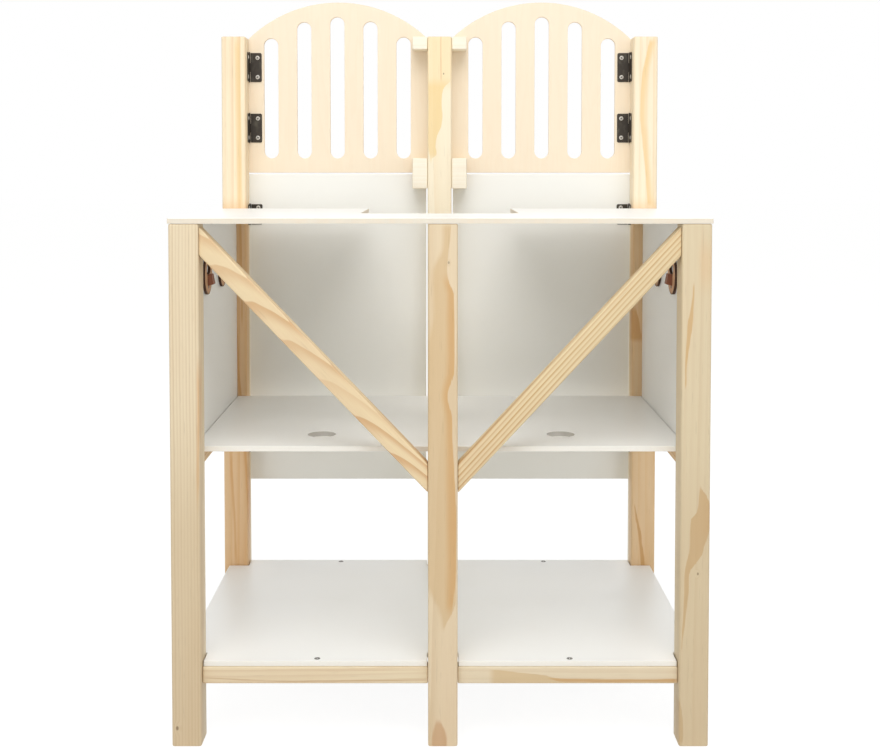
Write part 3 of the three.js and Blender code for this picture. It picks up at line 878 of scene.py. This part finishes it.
def makeSlab(kind, node, drawing, normal, level, materials, faces=None,
             body="stable_frame"):
    # A drawing in two axes laid at a level of the third, the normal, and thickened to fill the
    # solid's box. Without faces it is one outline; with them, points that meet are merged.
    low, high = corners(node)
    points = np.insert(np.asarray(drawing), normal, level, axis=1)
    single = [range(len(points))]
    piece = makePiece(kind + "_" + node, points, faces or single, materials, True, bool(faces))
    thicken(piece, (high - low)[normal])
    ease(piece, *slabEdges[kind])
    settle(piece, node, body)
    return piece


def rectangle(low, high, first, second):
    # The four corners of a box's side, in two of its axes
    return [
        [low[first], low[second]], [high[first], low[second]],
        [high[first], high[second]], [low[first], high[second]],
    ]


def ringSheet(inner, outer, rows):
    # A flat ring: points a share of the way from the inner loop to the outer one
    share = np.linspace(0, 1, rows)[:, None, None]
    points = inner[None] * (1 - share) + outer[None] * share
    faces = gridFaces(rows, len(inner), True)[:, ::-1]
    return points, faces


def makeTopShelf():
    low, high = corners("top_shelf")
    half, radius = boardShape["notchHalf"], boardShape["notchRadius"]
    back = high[1] - boardShape["notchDepth"]
    outline = np.concatenate([
        [[low[0], low[1]], [high[0], low[1]], [high[0], high[1]], [half, high[1]]],
        arc((half - radius, back + radius), radius, 0, -90, boardShape["notchSteps"]),
        arc((radius - half, back + radius), radius, -90, -180, boardShape["notchSteps"]),
        [[-half, high[1]], [low[0], high[1]]],
    ])
    makeSlab("board", "top_shelf", outline, 2, high[2], [whiteFace, topEdge])


def makeMiddleShelf():
    # Each half is a sheet between a round hole and its rectangle, a little short of the panels
    low, high = corners("middle_shelf")
    low[0] += boardShape["seam"]
    high[0] -= boardShape["seam"]
    centrePost = corners("rear_post_centre")
    inner = {"left": corners("rear_post_left")[1][0], "right": corners("rear_post_right")[0][0]}
    middle = (centrePost[0][0] + centrePost[1][0]) / 2
    holeY = cadCorners[0].y + boardShape["stickFromBack"]
    count = boardShape["holeSteps"]
    parts, holes = [], []
    for word, side in sides.items():
        postSide = centrePost[0][0] if side < 0 else centrePost[1][0]
        holeX = (postSide + inner[word]) / 2
        left, right = (low[0], middle) if side < 0 else (middle, high[0])
        outer = np.concatenate([
            segment((left, low[1]), (right, low[1]), count),
            segment((right, low[1]), (right, high[1]), count),
            segment((right, high[1]), (left, high[1]), count),
            segment((left, high[1]), (left, low[1]), count),
        ])
        turn = np.radians(225 + np.arange(4 * count) * 90 / count)
        hole = circle(turn) * boardShape["stickRadius"]
        holes.append((holeX, holeY))
        parts.append(ringSheet(hole + holes[-1], outer, boardShape["holeRows"]))
    drawing, faces = stack(parts)
    piece = makeSlab("board", "middle_shelf", drawing, 2, high[2], [whiteFace, whiteEdge],
                     faces)
    place = np.empty(3 * len(piece.data.vertices))
    piece.data.vertices.foreach_get("co", place)
    place = place.reshape(-1, 3)[:, :2]
    toHole = np.min([np.hypot(*(place - hole).T) for hole in holes], axis=0)
    mark(piece, "bore", toHole < boardShape["stickRadius"] + mm)


def makeBottomShelf():
    low, high = corners("bottom_shelf")
    play = boardShape["postPlay"]
    rear = corners("rear_post_left")[1][1] + play
    front = corners("front_post_left")[0][1] - play
    corner = corners("rear_post_right")[0][0] - play
    rearLeft = corners("rear_post_centre")[0][0] - play
    rearRight = corners("rear_post_centre")[1][0] + play
    frontCut = corners("front_post_centre")[1][0] + play
    outline = [
        [-corner, rear], [-corner, low[1]], [rearLeft, low[1]], [rearLeft, rear],
        [rearRight, rear], [rearRight, low[1]], [corner, low[1]], [corner, rear],
        [high[0], rear], [high[0], front], [corner, front], [corner, high[1]],
        [frontCut, high[1]], [frontCut, front], [-frontCut, front], [-frontCut, high[1]],
        [-corner, high[1]], [-corner, front], [low[0], front], [low[0], rear],
    ]
    makeSlab("board", "bottom_shelf", outline, 2, high[2], [whiteFace, whiteEdge])


def makeSidePanels():
    for word, side in sides.items():
        node = "side_panel_" + word
        low, high = corners(node)
        level = low[0] if side > 0 else high[0]
        makeSlab("board", node, rectangle(low, high, 1, 2)[::-side], 0, level,
                 [whiteFace, whiteEdge])


def makeDoors():
    for word in sides:
        node = "lower_door_" + word
        low, high = corners(node)
        makeSlab("board", node, rectangle(low, high, 0, 2), 1, low[1], [doorFace, whiteEdge],
                 body=node)


gateShape = {
    "slots": 5,
    "slotWidth": 26.8 * mm,
    "hingeMargin": 28.9 * mm,
    "freeMargin": 32.4 * mm,
    "topMargin": 27 * mm,
    "bottomMargin": 26.7 * mm,
    "roundSteps": 16,
    "sideSteps": 12,
    "sheetRows": 4,
}


def slotLoop(x, low, high, shape):
    # An upright slot: a half circle below, a straight side, a half circle above and a side
    radius = shape["slotWidth"] / 2
    below = np.pi + np.arange(shape["roundSteps"]) * np.pi / shape["roundSteps"]
    return np.concatenate([
        circle(below) * radius + (x, low + radius),
        segment((x + radius, low + radius), (x + radius, high - radius), shape["sideSteps"]),
        circle(below - np.pi) * radius + (x, high - radius),
        segment((x - radius, high - radius), (x - radius, low + radius), shape["sideSteps"]),
    ])


def cellLoop(left, right, bottom, top, shape):
    # The upright strip of board round one slot, its upper side following the arch top(x)
    across = segment((right, 0), (left, 0), shape["roundSteps"])[:, 0]
    return np.concatenate([
        segment((left, bottom), (right, bottom), shape["roundSteps"]),
        segment((right, bottom), (right, top(right)), shape["sideSteps"]),
        np.stack([across, top(across)], -1),
        segment((left, top(left)), (left, bottom), shape["sideSteps"]),
    ])


def makeGate(word, side, shape):
    # The arch is a circle through both shoulders and the crown; each slot ends one margin
    # below it, measured square to the arch. The slots stand evenly between the free edge's
    # margin and the hinges' margin.
    node = "upper_gate_" + word
    low, high = corners(node)
    shoulder = corners("front_post_" + word)[1][2]
    half = (high[0] - low[0]) / 2
    middle = (high[0] + low[0]) / 2
    rise = high[2] - shoulder
    radius = (half * half + rise * rise) / (2 * rise)
    centreHeight = high[2] - radius

    def top(x):
        return centreHeight + np.sqrt(radius * radius - (x - middle) ** 2)

    count = shape["slots"]
    span = 2 * half - shape["hingeMargin"] - shape["freeMargin"] - shape["slotWidth"]
    free = low[0] if side > 0 else high[0]
    first = shape["freeMargin"] + shape["slotWidth"] / 2
    slotX = np.sort(free + side * (first + np.arange(count) * span / (count - 1)))
    edges = np.concatenate([[low[0]], (slotX[1:] + slotX[:-1]) / 2, [high[0]]])
    parts = []
    for index, x in enumerate(slotX):
        over = top(x) - centreHeight
        crown = top(x) - shape["topMargin"] * radius / over
        slot = slotLoop(x, low[2] + shape["bottomMargin"], crown, shape)
        cell = cellLoop(edges[index], edges[index + 1], low[2], top, shape)
        parts.append(ringSheet(slot, cell, shape["sheetRows"]))
    drawing, faces = stack(parts)
    makeSlab("board", node, drawing, 1, low[1], [creamFace, creamEdge], faces,
             node)


makeTopShelf()
makeMiddleShelf()
makeBottomShelf()
makeSidePanels()
makeDoors()
for word, side in sides.items():
    makeGate(word, side, gateShape)
print("boards made")


# Hinges and screws

hingeShape = {
    "barrel": 2 * mm,
    "sheet": 0.8 * mm,
    "reach": 23.4 * mm,
    "cornerRadius": 3 * mm,
    "cornerSteps": 6,
    "rootGap": 2.5 * mm,
    "knuckleShares": (0, 0.34, 0.66, 1),
    "knuckleGap": 0.5 * mm,
    "curl": 290,  # degrees that the sheet rolls round the pin
    "curlSteps": 26,
    "screwReach": 15.6 * mm,
    "postOffset": 0.7 * mm,  # of the post plate's middle sheet from the pin
    "postStart": 4.5 * mm,  # where it begins to rise to the knuckles
    "screwShare": 0.333,
    "crossTurns": (0.5, 1.1),  # of the lower and the upper screw, in radians
    # The pin from foot to crown: a share of its head's radius, and a height over a level
    "pinProfile": (
        (0.33, "foot", 0), (0.55, "foot", 0.2 * mm), (0.55, "neck", 0), (0.94, "neck", 0),
        (1, "neck", 0.15 * mm), (1, "crown", -0.45 * mm), (0.85, "crown", -0.12 * mm),
        (0.4, "crown", 0),
    ),
    "pinSegments": 24,
    "eased": 0.12 * mm,
}

screwShape = {
    "radius": 3.8 * mm,
    "dome": 0.7 * mm,
    "rim": 0.35 * mm,
    "armLength": 2.4 * mm,
    "armHalfWidth": 0.5 * mm,
    "recess": 0.9 * mm,
    "recessSoft": 0.25 * mm,
    "rings": 14,
    "segments": 48,
}


def screwHead(centre, outward, up, turn, scale=1.0):
    # Polar grid: the dome falls with the square of the distance from the middle, and a cross
    # of two arms, wherever x or y is near nought, is pressed into it
    shape = screwShape
    sideways = np.cross(up, outward)
    radius = shape["radius"] * scale
    share = np.linspace(0.02, 1, shape["rings"])[:, None]
    angle = (np.arange(shape["segments"]) * 2 * np.pi / shape["segments"])[None, :]
    x, y = share * radius * np.cos(angle), share * radius * np.sin(angle)
    u = np.abs(x * math.cos(turn) + y * math.sin(turn))
    v = np.abs(y * math.cos(turn) - x * math.sin(turn))
    soft = shape["recessSoft"] * scale
    length, half = shape["armLength"] * scale, shape["armHalfWidth"] * scale
    armOne = np.clip((half - v) / soft + 0.5, 0, 1) * np.clip((length - u) / soft + 0.5, 0, 1)
    armTwo = np.clip((half - u) / soft + 0.5, 0, 1) * np.clip((length - v) / soft + 0.5, 0, 1)
    cross = np.maximum(armOne, armTwo)
    height = scale * (shape["rim"] + shape["dome"] * (1 - share**2) - shape["recess"] * cross)
    top = np.array(centre) + x[..., None] * sideways + y[..., None] * up
    top = top + height[..., None] * outward
    skirt = top[-1:] - (shape["rim"] * scale) * outward
    points = np.concatenate([top, skirt])
    faces = [face[::-1] for face in tubeFaces(*points.shape[:2])]
    return points, faces, np.concatenate([cross, cross[-1:] * 0]).ravel()


def makeScrews(name, body, heads, metal):
    points, faces = stack([head[:2] for head in heads])
    piece = makePiece(name, points, faces, [metal])
    mark(piece, "recess", np.concatenate([cross for _, _, cross in heads]))
    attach(piece, body)


def hingeSheet(pin, along, wall, low, high, own, offset, shape):
    # Rolled sheet: straight at its offset from the free edge almost to the pin, then up to the
    # knuckles' ring and curled round it, where it is one of this plate's own knuckles. Corners
    # at the free edge follow a quarter circle.
    ring = shape["barrel"] - shape["sheet"] / 2
    turn = np.linspace(np.pi / 2, 0, shape["cornerSteps"])
    corner = shape["cornerRadius"]
    straight = np.concatenate([
        shape["reach"] - corner + corner * np.sin(turn),
        [shape["screwReach"], shape["postStart"], shape["rootGap"], 0],
    ])
    cut = np.concatenate([corner * (1 - np.cos(turn)), [0, 0, 0, 0]])
    curl = np.radians(90 + np.linspace(0, shape["curl"], shape["curlSteps"])[1:])
    first = np.concatenate([straight, ring * np.cos(curl)])
    rise = np.where(straight > shape["rootGap"] + 1e-9, offset, ring)
    second = np.concatenate([rise, ring * np.sin(curl)])
    cut = np.concatenate([cut, np.zeros(len(curl))])

    length = high - low
    gap = shape["knuckleGap"] / 2
    shares = np.array(shape["knuckleShares"])
    starts = low + length * shares[:-1] + np.array([0, gap, gap])
    ends = low + length * shares[1:] - np.array([gap, gap, 0])
    levels = np.stack([starts, ends], -1).ravel()
    middle = (low + high) / 2
    squeeze = (length / 2 - cut) / (length / 2)
    heights = middle + (levels[None, :] - middle) * squeeze[:, None]
    flat = np.array(pin) + first[:, None] * along + second[:, None] * wall
    points = np.repeat(flat[:, None, :], len(levels), axis=1)
    points[..., 2] = heights

    faces = gridFaces(len(first), len(levels), False)
    rootRow = len(straight) - 2
    row, column = np.divmod(faces[:, 0], len(levels))
    knuckle = np.isin(column, [2 * index for index in own])
    return points, faces[(row < rootRow) | knuckle]


def lathe(axisPoint, radii, heights, segments):
    # A profile of radii and heights turned about an upright axis, closed on the axis
    angle = np.arange(segments) * 2 * np.pi / segments
    unit = np.stack([np.cos(angle), np.sin(angle), 0 * angle], -1)
    points = np.array(radii)[:, None, None] * unit[None]
    points = points + np.array([axisPoint[0], axisPoint[1], 0])
    points[..., 2] = np.array(heights)[:, None]
    return points, tubeFaces(len(radii), segments)


def makeHinge(kind, word, place, shape):
    side = sides[word]
    stem = kind + "_hinge_" + word + "_" + place
    leafBody = ("upper_gate_" if kind == "gate" else "lower_door_") + word
    low, high = corners(stem + "_leaf_plate")
    pinLow, pinHigh = corners(stem + "_pin")
    pin = (pinLow + pinHigh) / 2
    pin[2] = 0
    bottom, top = low[2], high[2]
    plates = {
        "leaf": (-side * axisX, axisY, [1], leafBody, shape["barrel"] - shape["sheet"] / 2, -1),
        "post": (-axisY, -side * axisX, [0, 2], "stable_frame", shape["postOffset"], 1),
    }
    screws = {}
    for plate, (along, wall, own, body, offset, shown) in plates.items():
        points, faces = hingeSheet(pin, along, wall, bottom, top, own, offset, shape)
        piece = makePiece("plate_" + stem + "_" + plate, points, faces, [hingeBlack])
        thicken(piece, shape["sheet"], True)
        ease(piece, shape["eased"], 2, 50)
        settle(piece, stem + "_" + plate + "_plate", body)
        skin = offset + shown * shape["sheet"] / 2
        face = pin + shape["screwReach"] * along + skin * wall
        spreadUp = (top - bottom) * shape["screwShare"]
        screws[body] = [
            screwHead(face + axisZ * ((top + bottom) / 2 + step), shown * wall, axisZ, turn)
            for step, turn in zip((-spreadUp, spreadUp), shape["crossTurns"])
        ]
    radius = (pinHigh[0] - pinLow[0]) / 2
    levels = {"foot": pinLow[2], "neck": pinHigh[2] - radius / 2, "crown": pinHigh[2]}
    radii = [share * radius for share, _, _ in shape["pinProfile"]]
    heights = [levels[level] + rise for _, level, rise in shape["pinProfile"]]
    points, faces = lathe(pin, radii, heights, shape["pinSegments"])
    piece = makePiece("pin_" + stem, points, faces, [hingeBlack])
    settle(piece, stem + "_pin")
    return screws


hingeScrews = {}
for kind in ("gate", "door"):
    for word in sides:
        for place in ("top", "bottom"):
            for body, heads in makeHinge(kind, word, place, hingeShape).items():
                hingeScrews.setdefault(body, []).extend(heads)

for body, heads in hingeScrews.items():
    makeScrews("hinge_screws_" + body, body, heads, zinc)
print("hinges made")


# Screws in the bottom shelf, over the rear and front rails' middle lines

shelfScrews = {
    "fromMiddle": (-185 * mm, 195 * mm),
    "scale": 1.2,
    "sunk": 0.3 * mm,
    "crossTurn": 0.4,
}


def makeShelfScrews(values):
    top = corners("bottom_shelf")[1][2]
    heads = []
    for end in ("rear", "front"):
        low, high = corners(end + "_bottom_rail_left")
        y = (low[1] + high[1]) / 2
        for index, x in enumerate(values["fromMiddle"]):
            centre = np.array([x, y, top - values["sunk"]])
            turn = values["crossTurn"] + index
            heads.append(screwHead(centre, axisZ, axisY, turn, values["scale"]))
    makeScrews("bottom_shelf_screws", "stable_frame", heads, greySteel)


makeShelfScrews(shelfScrews)


# Tack hooks

hookShape = {
    "ovalWidth": 33 * mm,
    "ovalHeight": 16 * mm,
    "ovalRise": 9.5 * mm,
    "screwDrop": 18.5 * mm,
    "screwScale": 0.8,
    "crossTurn": 0.3,
    "armScorch": 0.25,
    "tipLift": 2.5 * mm,
    "tipSlant": 3 * mm,
    "rowShares": (0, 0.05, 0.16, 0.4, 0.7, 0.88, 0.96, 1),
    "scorchShares": (1, 0.5, 0.05, 0, 0, 0.05, 0.5, 1),
    "segments": 72,
}


def makeHookDisc(node, side, shape):
    # A ring between the oval opening and the round rim, scorched near both
    low, high = corners(node)
    centre = np.array([(low[1] + high[1]) / 2, (low[2] + high[2]) / 2])
    radius = (high[2] - low[2]) / 2
    unit = circle(np.arange(shape["segments"]) * 2 * np.pi / shape["segments"])
    oval = unit * (shape["ovalWidth"] / 2, shape["ovalHeight"] / 2) + (0, shape["ovalRise"])
    share = np.array(shape["rowShares"])[:, None, None]
    drawing = centre + oval[None] * (1 - share) + unit[None] * radius * share
    faces = gridFaces(len(share), shape["segments"], True)[:, ::side].tolist()
    level = low[0] if side > 0 else high[0]
    piece = makeSlab("plywood", node, drawing.reshape(-1, 2), 0, level, [discFace, discEdge],
                     faces)
    mark(piece, "scorch", np.repeat(shape["scorchShares"], shape["segments"]))
    head = np.array([level, centre[0], centre[1] - shape["screwDrop"]])
    return screwHead(head, -side * axisX, axisZ, shape["crossTurn"], shape["screwScale"])


def makeHookArm(node, side, shape):
    # A block whose underside rises towards the tip, and whose tip leans back
    low, high = corners(node)
    base, tip = (high[0], low[0]) if side > 0 else (low[0], high[0])
    outline = np.array([
        [base, low[2]], [tip, low[2] + shape["tipLift"]],
        [tip + side * shape["tipSlant"], high[2]], [base, high[2]],
    ])
    piece = makeSlab("plywood", node, outline[::-side], 1, low[1], [armFace])
    mark(piece, "scorch", np.full(len(outline), shape["armScorch"]))


hookHeads = []
for word, side in sides.items():
    for row in ("rear", "front"):
        stem = "hook_" + word + "_" + row
        hookHeads.append(makeHookDisc(stem + "_disc", side, hookShape))
        makeHookArm(stem + "_arm", side, hookShape)
makeScrews("hook_screws", "stable_frame", hookHeads, greySteel)
print("hooks made")


# Floor, light and background

stageLook = {
    "floorSize": 60.0,
    "floorGlow": 0.88,  # how much the floor shines to the camera
    "floorShare": 0.25,  # of its lit white, which it also shows to the camera
    "floorWhite": (244, 243, 241),
    "floorShade": (236, 235, 232),
    "ambient": 0.53,
    "ambientTint": (0.985, 1.0, 1.0, 1.0),
}

lamps = {
    "overhead": {"place": (0.0, -1.3, 3.2), "aim": (0, 0, 0.5), "size": (2.2, 1.6), "power": 30},
    "backSoft": {"place": (0.0, -2.5, 2.9), "aim": (0, 0, 0.4), "size": (2.2, 1.2), "power": 22},
    "leftSoft": {"place": (-1.9, -2.6, 1.3), "aim": (0, 0, 0.5), "size": (1.1, 1.1), "power": 7.5},
    "rightSoft": {"place": (1.9, -2.6, 1.3), "aim": (0, 0, 0.5), "size": (1.1, 1.1), "power": 7.5},
    "frontSoft": {"place": (0.0, 2.9, 1.9), "aim": (0, 0, 0.5), "size": (2.4, 1.2), "power": 11},
}


def seen(graph):
    # 1 for a ray from the camera or off a mirror or through glass, 0 for scattered light
    ray = graph.node("LightPath", output=None)
    mirrored = ray["Is Glossy Ray"].maths("MAXIMUM", ray["Is Transmission Ray"])
    return ray["Is Camera Ray"].maths("MAXIMUM", mirrored)


def makeWorld(look):
    world = bpy.data.worlds.new("studio")
    scene.world = world
    graph = Graph(world)
    room = graph.node("Background", {},
                      {"Color": look["ambientTint"], "Strength": look["ambient"]})
    white = graph.node("Background", {}, {"Color": (1, 1, 1, 1), "Strength": 1.0})
    both = graph.node("MixShader", {}, {0: seen(graph), 1: room, 2: white})
    graph.node("OutputWorld", {}, {"Surface": both}, None)


def makeFloor(look):
    half = look["floorSize"] / 2
    points = [(-half, -half, 0), (half, -half, 0), (half, half, 0), (-half, half, 0)]
    graph, place = newMaterial("pale_floor")
    speck = graph.noise(place, (40, 40, 40), 2)
    tone = graph.mix(speck * 0.3, look["floorWhite"], look["floorShade"])
    lit = graph.node("BsdfDiffuse", {}, {"Color": tone})
    glow = graph.node("Emission", {},
                      {"Color": (1, 1, 1, 1), "Strength": look["floorGlow"]})
    dim = graph.node("BsdfDiffuse", {}, {"Color": tuple(
        value * look["floorShare"] for value in shade(*look["floorWhite"])[:3]) + (1.0,)})
    bright = graph.node("AddShader", {}, {0: glow, 1: dim})
    both = graph.node("MixShader", {}, {0: seen(graph), 1: lit, 2: bright})
    graph.node("OutputMaterial", {}, {"Surface": both}, None)
    makePiece("floor", points, [(0, 1, 2, 3)], [graph.owner], False)


def makeLamps(values):
    for name, lamp in values.items():
        data = bpy.data.lights.new(name, "AREA")
        data.shape = "RECTANGLE"
        data.size, data.size_y = lamp["size"]
        data.energy = lamp["power"]
        light = bpy.data.objects.new(name, data)
        light.location = lamp["place"]
        towards = np.array(lamp["aim"]) - np.array(lamp["place"])
        level = math.hypot(towards[0], towards[1])
        light.rotation_euler = (
            math.atan2(level, -towards[2]), 0, math.atan2(-towards[0], towards[1]))
        scene.collection.objects.link(light)


makeWorld(stageLook)
makeFloor(stageLook)
makeLamps(lamps)
print("stage made")
